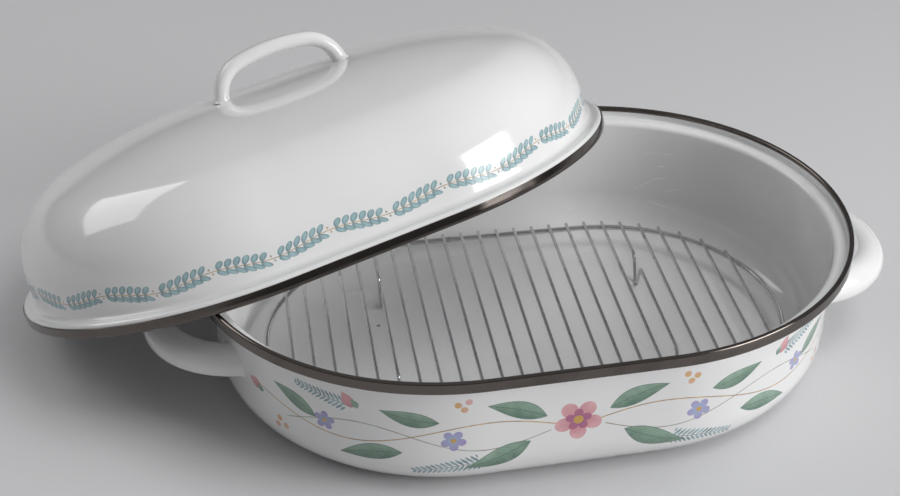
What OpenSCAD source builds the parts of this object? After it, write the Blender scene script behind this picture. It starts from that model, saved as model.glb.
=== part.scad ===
// Covered oval roasting pan of white enamelled steel, with steel-trimmed rims,
// a domed lid leaning on the pan's rim, and a wire rack that stands in the pan.
// Origin: centre of the pan's flat base. X runs along the pan, Z is up. Millimetres.

/* [Pan] */
// Length of the pan over its steel rim, without the handles
pan_length = 420; // [390:1:460]
// Width of the pan over its steel rim
pan_width = 313; // [290:1:330]
// Height of the pan from its base to the top of its rim
pan_height = 92; // [84:1:120]
// Thickness of the enamelled sheet, pan and lid alike
sheet = 1.6; // [1.2:0.1:2]
// Distance from the upright rim to the wall, across the ledge that takes the lid
ledge_width = 9.6; // [8:0.2:13]
// Depth of the ledge below the top of the rim
ledge_depth = 8.2; // [7:0.2:10]
// Lean of the wall from upright, in degrees
wall_lean = 2.5; // [0:0.5:8]
// Radius between the wall and the floor
floor_radius = 30; // [18:1:36]
// Radius of the bend from the wall to the ledge
shoulder_bend = 3; // [2.4:0.1:4]
// Radius of the bend from the ledge to the upright rim
rim_bend = 2; // [1.6:0.1:2.4]

/* [Steel trim] */
// Thickness of the steel strip that is folded over each edge
trim_thickness = 0.7; // [0.5:0.1:0.9]
// Height of the pan's trim, seen from outside
pan_trim_height = 7.4; // [6:0.2:8.4]
// Height of the lid's trim, seen from outside
lid_trim_height = 6.6; // [5:0.2:7]
// Depth of the short inner leg of each trim, below its fold
trim_inner_leg = 1.6; // [1:0.1:2.4]
// Gap between a trim and the sheet inside it
trim_gap = 0.1; // [0.05:0.05:0.2]

/* [Pan handles] */
// Width of a pan handle across its two ends
grip_width = 122; // [106:1:132]
// How far a pan handle stands out past the rim
grip_reach = 33; // [26:1:40]
// Radius of the curled strap's section
grip_curl = 11; // [9:0.5:13]
// Thickness of the strap
grip_sheet = 2.2; // [1.8:0.1:3]
// Height of the centre of the curl above the base
grip_height = 50; // [44:1:62]
// Angle of the strap's upper edge above the outward direction
grip_upper_angle = 120; // [95:1:130]
// Angle of the strap's lower edge below the outward direction
grip_lower_angle = 20; // [10:1:70]

/* [Lid] */
// Play between the lid's trim and the pan's upright rim, when the lid is seated
lid_play = 1.3; // [0.8:0.1:2.5]
// Height of the lid from the bottom of its trim to its crown
lid_height = 90; // [80:1:105]
// Height of the flat flange above the bottom of the trim, to its middle
flange_height = 8.2; // [8:0.2:10]
// Distance from the turned-down edge to the side of the dome, across the flange
flange_width = 8.4; // [8:0.2:12]
// Radius of the bend at the edge of the flange
edge_bend = 2; // [1.6:0.1:2.4]
// Radius of the hollow bend between the flange and the side of the dome
flange_fillet = 4.5; // [3:0.5:7]
// Lean of the dome's side from upright, in degrees
dome_lean = 3; // [0:0.5:8]
// Radius of the dome's shoulder
shoulder_radius = 45; // [34:1:52]
// Radius of the crown across the lid
crown_radius = 310; // [240:5:420]

/* [Lid handle] */
// Distance between the middles of the handle's feet
handle_span = 84.5; // [74:0.5:96]
// Height of the handle's middle line above the crown
handle_height = 26; // [22:0.5:34]
// Width of the handle's bar, across the lid
handle_bar_width = 14; // [11:0.5:18]
// Thickness of the handle's bar
handle_bar_thickness = 9.2; // [7:0.2:10.4]
// Radius of the handle's two upper corners, at the middle of the bar
handle_corner = 23; // [14:1:26]
// Lean of the handle's legs towards each other, in degrees
handle_leg_lean = 15; // [5:1:25]
// Turn of each half of the bowed top, from its middle to the corner, in degrees
handle_bow = 12; // [4:1:16]
// Shift of the handle along the lid, from the lid's middle
handle_shift = 4.4; // [-6:0.2:6]

/* [Rack] */
// Room between the rim of the pan and the rack, at each end
rack_end_room = 38.5; // [36:0.5:60]
// Room between the rim of the pan and the rack, at each side
rack_side_room = 43; // [40:0.5:60]
// Thickness of the rim wire
rack_rim_wire = 3.6; // [3:0.2:4.6]
// Thickness of each cross wire
rack_cross_wire = 2.3; // [1.8:0.1:3]
// Distance between the middles of two cross wires
rack_pitch = 12.8; // [11:0.1:14]
// Clear height under the cross wires, above the pan's floor
rack_height = 17; // [12:1:24]
// How far each cross wire runs past the middle of the rim wire
rack_wire_overrun = 2.4; // [1.8:0.2:3]
// Depth of the welded seat of a cross wire in the rim wire
weld_depth = 0.3; // [0.1:0.05:0.5]
// Distance of each foot from the middle of its wire
foot_offset = 57; // [40:1:64]
// Lean of a foot's two legs from upright, in degrees
foot_splay = 22; // [12:1:30]
// Radius of the bends that form a foot, at the middle of the wire
foot_bend = 4; // [3:0.2:5]
// Turn of the rack in the pan, in degrees
rack_turn = -2.5; // [-5:0.5:5]
// Shift of the rack along the pan
rack_shift = 2.5; // [-4:0.5:4]

/* [Resting lid] */
// Tilt of the leaning lid, in degrees
lid_tilt = 21.3; // [19:0.1:23]
// Compass direction in which the lid runs down to the counter, in degrees from X
lid_downhill = 128.5; // [124:0.5:134]
// Direction of the lid's long axis, in degrees from X
lid_heading = 10.5; // [6:0.5:16]
// Height added where the lid's trim crosses the pan's trim
rest_gap = 0.5; // [0.4:0.1:0.8]

/* [Hidden] */
// Number of segments in a full turn, for large and for small round forms
$fn = 128;
small_turn = 48;
// Number of flats round the edge of the lid handle's bar
bar_facets = 12;
// Gap between a welded handle and the curved face that it stands on
seat_gap = 0.1;
// Gap between the foot of the rack and the floor of the pan
stand_gap = 0.1;
// Depth by which a cutting form passes the surface that it trims
cut = 20;
// Steps of each halving search, enough for a millionth of a millimetre
halvings = 40;

// Plan of the pan and the lid: two half circles joined by straight sides
half_straight = (pan_length - pan_width) / 2;
rim_r = pan_width / 2;
// Radius of the rounded bead that the folded trim makes on each edge
bead = sheet / 2 + trim_gap + trim_thickness;

// Pan section, worked out from the rim inwards along the middle of the sheet
upright_x = rim_r - bead;
ledge_z = pan_height - ledge_depth;
wall_top_x = upright_x - ledge_width;
floor_bend = floor_radius - sheet / 2;
wall_length = (ledge_z - shoulder_bend - sheet / 2 - floor_bend
    + (shoulder_bend + floor_bend) * sin(wall_lean)) / cos(wall_lean);
floor_edge = wall_top_x + shoulder_bend * (1 - cos(wall_lean))
    - wall_length * sin(wall_lean) - floor_bend * cos(wall_lean);
upright_length = pan_height - bead - ledge_z - rim_bend;

// Lid section, worked out along the middle of the sheet
lid_r = rim_r - 2 * bead - lid_play;
edge_x = lid_r - bead;
fillet_x = edge_x - flange_width + flange_fillet;
crown_bend = crown_radius - sheet / 2;
dome_shoulder = shoulder_radius - sheet / 2;
crown_centre_z = lid_height - crown_radius;
// Angle at which the shoulder meets the crown
crown_turn = dome_lean + acos(
    (fillet_x * cos(dome_lean)
        + (flange_height + flange_fillet - crown_centre_z) * sin(dome_lean)
        - flange_fillet - dome_shoulder)
    / (crown_bend - dome_shoulder));
dome_side_length = (crown_centre_z + (crown_bend - dome_shoulder) * sin(crown_turn)
    + dome_shoulder * sin(dome_lean)
    - (flange_height + flange_fillet - flange_fillet * sin(dome_lean))) / cos(dome_lean);
edge_length = flange_height - edge_bend - bead;
flange_length = edge_x - edge_bend - fillet_x;

// Radius of the bowed top of the lid's handle, which joins both corners without a kink
bow_and_leg_x = handle_span / 2 - handle_corner * (cos(handle_leg_lean) - sin(handle_bow));
bow_and_leg_z = handle_height - handle_corner * (cos(handle_bow) - sin(handle_leg_lean));
handle_top_radius = (bow_and_leg_x * cos(handle_leg_lean) - bow_and_leg_z * sin(handle_leg_lean))
    / (sin(handle_bow + handle_leg_lean) - sin(handle_leg_lean));

// Pan handle: an arc in plan, whose outer face stands grip_reach past the rim
grip_outer = pan_length / 2 + grip_reach;
grip_plan_r = grip_width / 2;
grip_centre_x = grip_outer - grip_plan_r;
grip_section_x = grip_plan_r - grip_curl;
// Half the turn of the strap in plan, enough to run into the wall at both ends
grip_half_turn = 110;

// Rack plan and heights
rack_r = rim_r - rack_side_room - rack_rim_wire / 2;
rack_half_straight = half_straight + rack_side_room - rack_end_room;
cross_z = sheet + rack_height + rack_cross_wire / 2;
rim_wire_z = cross_z - rack_cross_wire / 2 - rack_rim_wire / 2 + weld_depth;
cross_count = 2 * floor((rack_half_straight + rack_r - 1.5 * rack_rim_wire - rack_cross_wire)
    / rack_pitch) + 1;
middle_wire = (cross_count + 1) / 2;
// The two wires that dip to the floor stand this many wires from the middle one
foot_wire_step = 7;

// Foot of the rack: a V with a rounded tip, from the wire's own line down to the floor
foot_z = sheet + stand_gap + rack_cross_wire / 2;
foot_leg = (cross_z - foot_z - 2 * foot_bend * (1 - sin(foot_splay))) / cos(foot_splay);
foot_half_width = 2 * foot_bend * cos(foot_splay) + foot_leg * sin(foot_splay);

// Half the length of cross wire number i, from the middle of the rack
function wire_x(i) = (i - middle_wire) * rack_pitch;
function wire_reach(i) = rack_wire_overrun
    + sqrt(rack_r ^ 2 - max(abs(wire_x(i)) - rack_half_straight, 0) ^ 2);
function has_feet(i) = abs(i - middle_wire) == foot_wire_step;
function wire_name(i) = str("rack_wire_", i < 10 ? "0" : "", i);

// Leaning lid: its trim touches the counter at one point and the pan's rim at two.
// A level chord of the lid, uphill of its middle, is laid on a chord of the pan's rim.
function heading(angle) = [cos(angle), sin(angle)];
function left_of(v) = [-v.y, v.x];
function within(p, half, r) = norm([max(abs(p.x) - half, 0), p.y]) < r;
function farthest_tip(half, r, v) = [half * sign(v.x), 0] + r * v;
function reach(half, r, at, v, near, far, n = halvings) =
    n == 0 ? near
    : within(at + v * (near + far) / 2, half, r) ? reach(half, r, at, v, (near + far) / 2, far, n - 1)
    : reach(half, r, at, v, near, (near + far) / 2, n - 1);
// Two ends of the chord at right angles to v, at a distance from the middle along v
function chord(half, r, v, distance) =
    let (tip = farthest_tip(half, r, v), at = tip * distance / (tip * v), far = 2 * (half + r))
    [for (side = [left_of(v), -left_of(v)]) at + side * reach(half, r, at, side, 0, far)];
function chord_length(half, r, v, distance) =
    let (ends = chord(half, r, v, distance)) norm(ends[0] - ends[1]);
function distance_of_chord(half, r, v, size, near, far, n = halvings) =
    n == 0 ? near
    : chord_length(half, r, v, (near + far) / 2) > size
        ? distance_of_chord(half, r, v, size, (near + far) / 2, far, n - 1)
        : distance_of_chord(half, r, v, size, near, (near + far) / 2, n - 1);

downhill = heading(lid_downhill);
downhill_on_lid = heading(lid_downhill - lid_heading);
lid_bead_r = lid_r - bead;
pan_bead_r = rim_r - bead;
bead_plane_z = bead
    + sin(lid_tilt) * (farthest_tip(half_straight, lid_bead_r, downhill_on_lid) * downhill_on_lid);
uphill_distance = (pan_height + bead + rest_gap - bead_plane_z) / sin(lid_tilt);
lid_chord = chord(half_straight, lid_bead_r, downhill_on_lid, -uphill_distance);
pan_chord_distance = distance_of_chord(half_straight, pan_bead_r, downhill,
    norm(lid_chord[0] - lid_chord[1]), 0,
    farthest_tip(half_straight, pan_bead_r, downhill) * downhill);
pan_chord = chord(half_straight, pan_bead_r, downhill, pan_chord_distance);
lid_centre = pan_chord[0] + uphill_distance * cos(lid_tilt) * downhill
    - (lid_chord[0] * left_of(downhill_on_lid)) * left_of(downhill);
lid_origin = [lid_centre.x, lid_centre.y, bead_plane_z]
    - bead * [sin(lid_tilt) * downhill.x, sin(lid_tilt) * downhill.y, cos(lid_tilt)];

// Runs of sheet and bar, each drawn from the origin along X.
// A move is [length, 0] for a straight piece or [radius, turn] for a bend to the left.

// Mirrors what bends to the right, so that every bend is drawn to the left
module turned(turn) {
    mirror([0, turn < 0 ? 1 : 0, 0]) children();
}

// Bend of a strip, whose two ends are cut square to its run
module strip_bend(radius, turn, thickness) {
    far = 2 * (radius + thickness);
    translate([0, radius]) difference() {
        circle(radius + thickness / 2);
        circle(radius - thickness / 2);
        translate([-far, -far]) square([far, 2 * far]);
        rotate(turn) translate([0, -far]) square([far, 2 * far]);
    }
}

// Flat section of a run of sheet
module sheet_run(moves, i = 0) {
    if (i < len(moves)) {
        size = moves[i][0];
        turn = moves[i][1];
        if (turn == 0) {
            translate([0, -sheet / 2]) square([size, sheet]);
            translate([size, 0]) sheet_run(moves, i + 1);
        } else turned(turn) {
            strip_bend(size, abs(turn), sheet);
            translate([0, size]) rotate(abs(turn)) translate([0, -size])
                turned(turn) sheet_run(moves, i + 1);
        }
    }
}

// Bend of a bar whose section is the child, cut square to its run at both ends
module bar_bend(radius, turn) {
    far = 2 * radius;
    translate([0, radius, 0]) difference() {
        rotate([0, 0, -90]) rotate_extrude(angle = 180) translate([radius, 0]) children();
        rotate([0, 0, turn]) translate([0, -far, -far]) cube(2 * far);
    }
}

// Bar bent to a run of moves
module bar_run(moves, i = 0) {
    if (i < len(moves)) {
        size = moves[i][0];
        turn = moves[i][1];
        if (turn == 0) {
            rotate([90, 0, 90]) linear_extrude(size) children();
            translate([size, 0, 0]) bar_run(moves, i + 1) children();
        } else turned(turn) {
            bar_bend(size, abs(turn)) children();
            translate([0, size, 0]) rotate([0, 0, abs(turn)]) translate([0, -size, 0])
                turned(turn) bar_run(moves, i + 1) children();
        }
    }
}

// Trim folded over an edge that points up: a long outer leg, a round fold, a short inner leg
module trim_section(outer_leg) {
    inner_r = bead - trim_thickness;
    difference() {
        union() {
            circle(bead);
            translate([0, -outer_leg]) square([bead, outer_leg]);
            translate([-bead, -trim_inner_leg]) square([bead, trim_inner_leg]);
        }
        circle(inner_r);
        translate([-inner_r, -outer_leg - cut]) square([2 * inner_r, outer_leg + cut]);
        translate([-bead, -outer_leg - cut]) square([bead, outer_leg + cut - trim_inner_leg]);
    }
}

// Sweeps a section round the plan that the pan and the lid share
module round_plan(half) {
    for (side = [0, 1]) mirror([side, 0, 0]) translate([half, 0, 0])
        rotate([0, 0, -90]) rotate_extrude(angle = 180) children();
    rotate([90, 0, 90]) linear_extrude(2 * half, center = true) {
        children();
        mirror([1, 0]) children();
    }
}

// Pan

module pan_section() {
    square([floor_edge, sheet]);
    translate([floor_edge, sheet / 2]) sheet_run([
        [floor_bend, 90 - wall_lean],
        [wall_length, 0],
        [shoulder_bend, wall_lean - 90],
        [ledge_width - shoulder_bend - rim_bend, 0],
        [rim_bend, 90],
        [upright_length, 0]]);
}

module pan_body() {
    color("whitesmoke") round_plan(half_straight) pan_section();
}

module pan_rim_trim() {
    color("silver") round_plan(half_straight)
        translate([pan_bead_r, pan_height - bead]) trim_section(pan_trim_height - bead);
}

// The block that the pan's outer wall fills, grown by a gap, with its flat base cut off
module pan_wall_block(gap) {
    foot_x = floor_edge + (floor_radius + gap) / cos(wall_lean) - floor_radius * tan(wall_lean);
    top_x = foot_x + ledge_z * tan(wall_lean);
    round_plan(half_straight) polygon([[0, 0], [foot_x, 0], [top_x, ledge_z], [0, ledge_z]]);
}

// Strap curled outwards and down, bent to an arc in plan and cut to stand on the wall
module pan_handle() {
    curl_r = grip_curl - grip_sheet / 2;
    difference() {
        translate([grip_centre_x, 0, grip_height]) rotate([0, 0, -grip_half_turn])
            rotate_extrude(angle = 2 * grip_half_turn) translate([grip_section_x, 0])
                rotate(90 - grip_lower_angle) translate([0, -curl_r])
                    strip_bend(curl_r, grip_lower_angle + grip_upper_angle, grip_sheet);
        pan_wall_block(seat_gap);
    }
}

module pan_handle_right() {
    color("whitesmoke") pan_handle();
}

module pan_handle_left() {
    color("whitesmoke") mirror([1, 0, 0]) pan_handle();
}

// Lid, drawn level with the bottom of its trim at the origin

module on_lid() {
    translate(lid_origin) rotate([0, 0, lid_downhill]) rotate([0, lid_tilt, 0])
        rotate([0, 0, lid_heading - lid_downhill]) children();
}

module lid_section() {
    translate([0, lid_height - sheet / 2]) sheet_run([
        [crown_bend, crown_turn - 90],
        [dome_shoulder, dome_lean - crown_turn],
        [dome_side_length, 0],
        [flange_fillet, 90 - dome_lean],
        [flange_length, 0],
        [edge_bend, -90],
        [edge_length, 0]]);
}

module lid_shell() {
    color("whitesmoke") on_lid() round_plan(half_straight) lid_section();
}

module lid_rim_trim() {
    color("silver") on_lid() round_plan(half_straight)
        translate([lid_bead_r, bead]) mirror([0, 1]) trim_section(lid_trim_height - bead);
}

module handle_bar_section() {
    flat = handle_bar_width - handle_bar_thickness;
    square([handle_bar_thickness, flat], center = true);
    for (side = [-1, 1]) translate([0, side * flat / 2])
        circle(d = handle_bar_thickness, $fn = bar_facets);
}

// One half of the arch, from the middle of the top bar down through the crown
module handle_half() {
    translate([0, 0, handle_height]) rotate([90, 0, 0]) bar_run([
        [handle_top_radius, -handle_bow],
        [handle_corner, handle_leg_lean + handle_bow - 90],
        [handle_height, 0]]) handle_bar_section();
}

module lid_handle() {
    color("whitesmoke") on_lid() difference() {
        translate([handle_shift, 0, lid_height])
            for (side = [0, 1]) mirror([side, 0, 0]) handle_half();
        translate([0, 0, crown_centre_z]) rotate([0, 90, 0])
            cylinder(r = crown_radius + seat_gap, h = lid_r, center = true, $fn = 4 * $fn);
    }
}

// Rack

module on_floor() {
    translate([rack_shift, 0, 0]) rotate([0, 0, rack_turn]) children();
}

module wire_section() {
    rotate(90) circle(d = rack_cross_wire, $fn = small_turn);
}

module straight_wire(i) {
    rotate([90, 0, 0]) linear_extrude(2 * wire_reach(i), center = true) wire_section();
}

// Half of a wire with feet, from the middle of the rack outwards
module footed_wire_half(i) {
    rotate([90, 0, 90]) bar_run([
        [foot_offset - foot_half_width, 0],
        [foot_bend, foot_splay - 90],
        [foot_leg, 0],
        [foot_bend, 180 - 2 * foot_splay],
        [foot_leg, 0],
        [foot_bend, foot_splay - 90],
        [wire_reach(i) - foot_offset - foot_half_width, 0]]) wire_section();
}

module rack_wire(i) {
    color("gainsboro") on_floor() translate([wire_x(i), 0, cross_z])
        if (has_feet(i)) for (side = [0, 1]) mirror([0, side, 0]) footed_wire_half(i);
        else straight_wire(i);
}

// Closed rim wire, with a shallow welded seat under each cross wire
module rack_rim() {
    color("gainsboro") on_floor() difference() {
        translate([0, 0, rim_wire_z]) {
            for (side = [0, 1]) mirror([side, 0, 0]) translate([rack_half_straight, 0, 0])
                rotate([0, 0, -90]) rotate_extrude(angle = 180)
                    translate([rack_r, 0]) circle(d = rack_rim_wire, $fn = small_turn);
            for (side = [-1, 1]) translate([0, side * rack_r, 0]) rotate([0, 90, 0])
                cylinder(d = rack_rim_wire, h = 2 * rack_half_straight, center = true, $fn = small_turn);
        }
        for (i = [1:cross_count]) translate([wire_x(i), 0, cross_z]) straight_wire(i);
    }
}

pan_body();
pan_rim_trim();
pan_handle_left();
pan_handle_right();
lid_shell();
lid_rim_trim();
lid_handle();
rack_rim();
for (i = [1:cross_count])
    rack_wire(i);
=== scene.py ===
"""Looks of a covered oval roasting pan: enamelled pan and lid, steel trims, wire rack."""

import logging
import math
from dataclasses import dataclass, field
from enum import Enum
from functools import cache
from typing import Any, Iterable, Sequence

import bmesh
import bpy
from mathutils import Matrix, Vector

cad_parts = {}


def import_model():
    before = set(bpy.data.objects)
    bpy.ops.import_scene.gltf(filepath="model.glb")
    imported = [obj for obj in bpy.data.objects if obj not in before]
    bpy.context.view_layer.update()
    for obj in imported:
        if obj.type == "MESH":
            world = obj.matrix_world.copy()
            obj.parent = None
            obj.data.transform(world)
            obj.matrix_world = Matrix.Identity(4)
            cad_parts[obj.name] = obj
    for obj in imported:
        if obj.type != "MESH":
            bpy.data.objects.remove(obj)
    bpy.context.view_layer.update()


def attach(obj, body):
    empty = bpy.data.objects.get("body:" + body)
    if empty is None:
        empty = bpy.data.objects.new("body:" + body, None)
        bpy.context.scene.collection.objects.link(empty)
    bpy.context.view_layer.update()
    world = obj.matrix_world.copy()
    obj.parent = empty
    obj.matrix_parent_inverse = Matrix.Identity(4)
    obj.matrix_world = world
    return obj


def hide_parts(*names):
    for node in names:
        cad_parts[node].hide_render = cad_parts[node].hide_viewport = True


LOG = logging.getLogger("roasting_pan")
METRE = 0.001  # one millimetre, in the scene's metres
NEAR = 0.001  # what rounding may add to a place, in millimetres
SHARP = 38.0  # angle past which an edge stays sharp, in degrees
WRAP = "wrap"  # UV map of swept pieces: run round the plan, run along the section
INSIDE = 1.0  # added to the second coordinate of that map on the inner faces
ROOT = "root"  # the body that every piece belongs to

Pair = tuple[float, float]
Triple = tuple[float, float, float]
Colour = Triple
Piece = bpy.types.Object
Material = bpy.types.Material


class Ink(Enum):
    """Colours of the fired print."""

    LEAF_DARK = (0.085, 0.17, 0.125)
    LEAF_LIGHT = (0.33, 0.48, 0.37)
    TEAL_DARK = (0.11, 0.2, 0.23)
    TEAL_LIGHT = (0.35, 0.53, 0.56)
    STEM = (0.25, 0.165, 0.075)
    ROSE = (0.52, 0.15, 0.19)
    BLUSH = (0.76, 0.43, 0.45)
    VIOLET = (0.17, 0.085, 0.33)
    LILAC = (0.36, 0.25, 0.55)
    SKY = (0.3, 0.44, 0.6)
    GOLD = (0.62, 0.37, 0.07)


class End(Enum):
    """The two ends of the pan, as directions along X."""

    LEFT = -1
    RIGHT = 1


# ---------------------------------------------------------------- node trees


class Scalar:
    """A number that varies over a surface: a value socket with Python's operators."""

    def __init__(self, nodes: "Nodes", socket: bpy.types.NodeSocket) -> None:
        """Wraps a socket.

        Args:
            nodes: the tree that the socket belongs to.
            socket: the output socket that gives the number.
        """
        self.nodes = nodes
        self.socket = socket

    def __add__(self, other: Any) -> "Scalar":
        """Sum."""
        return self.nodes.math("ADD", self, other)

    def __radd__(self, other: Any) -> "Scalar":
        """Sum, reflected."""
        return self.nodes.math("ADD", other, self)

    def __sub__(self, other: Any) -> "Scalar":
        """Difference."""
        return self.nodes.math("SUBTRACT", self, other)

    def __rsub__(self, other: Any) -> "Scalar":
        """Difference, reflected."""
        return self.nodes.math("SUBTRACT", other, self)

    def __mul__(self, other: Any) -> "Scalar":
        """Product."""
        return self.nodes.math("MULTIPLY", self, other)

    def __rmul__(self, other: Any) -> "Scalar":
        """Product, reflected."""
        return self.nodes.math("MULTIPLY", other, self)

    def __truediv__(self, other: Any) -> "Scalar":
        """Quotient."""
        return self.nodes.math("DIVIDE", self, other)

    def __pow__(self, other: Any) -> "Scalar":
        """Power."""
        return self.nodes.math("POWER", self, other)

    def __abs__(self) -> "Scalar":
        """Distance from zero."""
        return self.nodes.math("ABSOLUTE", self)

    def clamped(self) -> "Scalar":
        """The number held between 0 and 1."""
        return self.nodes.math("ADD", self, 0.0, clamp=True)

    def over(self, low: float, high: float) -> "Scalar":
        """A smooth step.

        Args:
            low: where the step starts, at 0.
            high: where it ends, at 1.

        Returns:
            The step's height.
        """
        return self.nodes.out(
            "ShaderNodeMapRange",
            {"interpolation_type": "SMOOTHSTEP"},
            {"Value": self, "From Min": low, "From Max": high},
        )


class Nodes:
    """Writes one node tree, for a material or for geometry."""

    def __init__(self, tree: bpy.types.NodeTree) -> None:
        """Empties the tree.

        Args:
            tree: the tree to write.
        """
        self.tree = tree
        tree.nodes.clear()

    def node(
        self,
        kind: str,
        settings: dict[str, Any] | None = None,
        inputs: dict[Any, Any] | None = None,
    ) -> bpy.types.Node:
        """Adds one node.

        Args:
            kind: the node's type.
            settings: the node's properties; "stops" fills a colour ramp.
            inputs: values or links of its sockets, by name or number.

        Returns:
            The new node.
        """
        new = self.tree.nodes.new(kind)
        new.location = (180.0 * (len(self.tree.nodes) % 24), -220.0 * (len(self.tree.nodes) // 24))
        for name, value in (settings or {}).items():
            if name == "stops":
                self._fill_ramp(new, value)
            else:
                setattr(new, name, value)
        for key, value in (inputs or {}).items():
            self._feed(new.inputs[key], value)
        return new

    def out(
        self,
        kind: str,
        settings: dict[str, Any] | None = None,
        inputs: dict[Any, Any] | None = None,
        socket: Any = 0,
    ) -> Scalar:
        """Adds one node and wraps one of its outputs.

        Args:
            kind: the node's type.
            settings: the node's properties.
            inputs: values or links of its sockets.
            socket: name or number of the output.

        Returns:
            The wrapped output.
        """
        return Scalar(self, self.node(kind, settings, inputs).outputs[socket])

    def math(self, operation: str, *values: Any, clamp: bool = False) -> Scalar:
        """Adds a Math node.

        Args:
            operation: the node's operation.
            values: its inputs in order.
            clamp: whether the result is held between 0 and 1.

        Returns:
            The result.
        """
        settings = {"operation": operation, "use_clamp": clamp}
        return self.out("ShaderNodeMath", settings, dict(enumerate(values)))

    def mix(self, factor: Any, first: Any, second: Any) -> Scalar:
        """Mixes two colours.

        Args:
            factor: share of the second colour.
            first: a colour or a link.
            second: a colour or a link.

        Returns:
            The mixed colour.
        """
        settings = {"data_type": "RGBA", "blend_type": "MIX"}
        inputs = {0: factor, 6: _rgba(first), 7: _rgba(second)}
        return self.out("ShaderNodeMix", settings, inputs, socket=2)

    def noise(self, where: Any, scale: float, detail: float, **more: Any) -> Scalar:
        """Adds a noise texture.

        Args:
            where: the coordinates.
            scale: how many features there are in a metre, about.
            detail: how many finer layers are added.
            more: other inputs, such as Roughness.

        Returns:
            The noise, from 0 to 1.
        """
        inputs = {"Vector": where, "Scale": scale, "Detail": detail, **more}
        return self.out("ShaderNodeTexNoise", None, inputs, socket=0)

    def vector(self, operation: str, *values: Any, socket: int = 0) -> Scalar:
        """Adds a Vector Math node.

        Args:
            operation: the node's operation.
            values: its inputs in order.
            socket: 0 for the vector that results, 1 for the number.

        Returns:
            The result.
        """
        settings = {"operation": operation}
        return self.out("ShaderNodeVectorMath", settings, dict(enumerate(values)), socket)

    def split(self, vector: Any, axis: int) -> Scalar:
        """One part of a vector: 0 for X, 1 for Y or 2 for Z."""
        return self.out("ShaderNodeSeparateXYZ", None, {0: vector}, axis)

    def join(self, x: Any = 0.0, y: Any = 0.0, z: Any = 0.0) -> Scalar:
        """A vector of three numbers."""
        return self.out("ShaderNodeCombineXYZ", None, {0: x, 1: y, 2: z})

    def place(self) -> Scalar:
        """The piece's own coordinates, in metres."""
        return self.out("ShaderNodeTexCoord", None, None, socket="Object")

    def wrap(self) -> Scalar:
        """The swept pieces' UV map, in metres."""
        return self.out("ShaderNodeUVMap", {"uv_map": WRAP})

    def surface(self, inputs: dict[str, Any], bump: dict[str, Any]) -> bpy.types.Node:
        """Adds the shader of a finish.

        Args:
            inputs: values or links of the shader's sockets.
            bump: values or links of the sockets of the Bump node that feeds its Normal.

        Returns:
            The shader node.
        """
        normal = self.out("ShaderNodeBump", None, bump)
        return self.node("ShaderNodeBsdfPrincipled", None, {**inputs, "Normal": normal})

    def _feed(self, socket: bpy.types.NodeSocket, value: Any) -> None:
        """Sets or links one socket.

        Args:
            socket: the input socket.
            value: a value, a link or a wrapped socket.
        """
        if isinstance(value, Scalar):
            value = value.socket
        if isinstance(value, bpy.types.NodeSocket):
            self.tree.links.new(value, socket)
        else:
            socket.default_value = value

    @staticmethod
    def _fill_ramp(ramp: bpy.types.Node, stops: Sequence[tuple[float, Colour]]) -> None:
        """Gives a colour ramp its stops.

        Args:
            ramp: the ramp's node.
            stops: place and colour of each stop.
        """
        elements = ramp.color_ramp.elements
        while len(elements) < len(stops):
            elements.new(0.5)
        for element, (place, colour) in zip(elements, stops):
            element.position = place
            element.color = (*colour, 1.0)


def _rgba(colour: Any) -> Any:
    """Adds full opacity to a plain colour.

    Args:
        colour: an ink, a plain colour or a link.

    Returns:
        The colour with its opacity, or the link as it was.
    """
    if isinstance(colour, Ink):
        colour = colour.value
    return (*colour, 1.0) if isinstance(colour, tuple) and len(colour) == 3 else colour


# ---------------------------------------------------------------- finishes


@dataclass(frozen=True)
class Finish:
    """A surface finish."""

    name: str  # name of the material, and of the record's slot that it belongs to

    @cache
    def material(self) -> Material:
        """Builds the material, once.

        Returns:
            The material.
        """
        made = bpy.data.materials.new(self.name)
        made.use_nodes = True
        nodes = Nodes(made.node_tree)
        shader = self.shade(nodes)
        nodes.node("ShaderNodeOutputMaterial", None, {"Surface": shader.outputs[0]})
        return made

    def shade(self, nodes: Nodes) -> bpy.types.Node:
        """Writes the shader.

        Args:
            nodes: the material's tree.

        Returns:
            The shader node.
        """
        raise NotImplementedError


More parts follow.
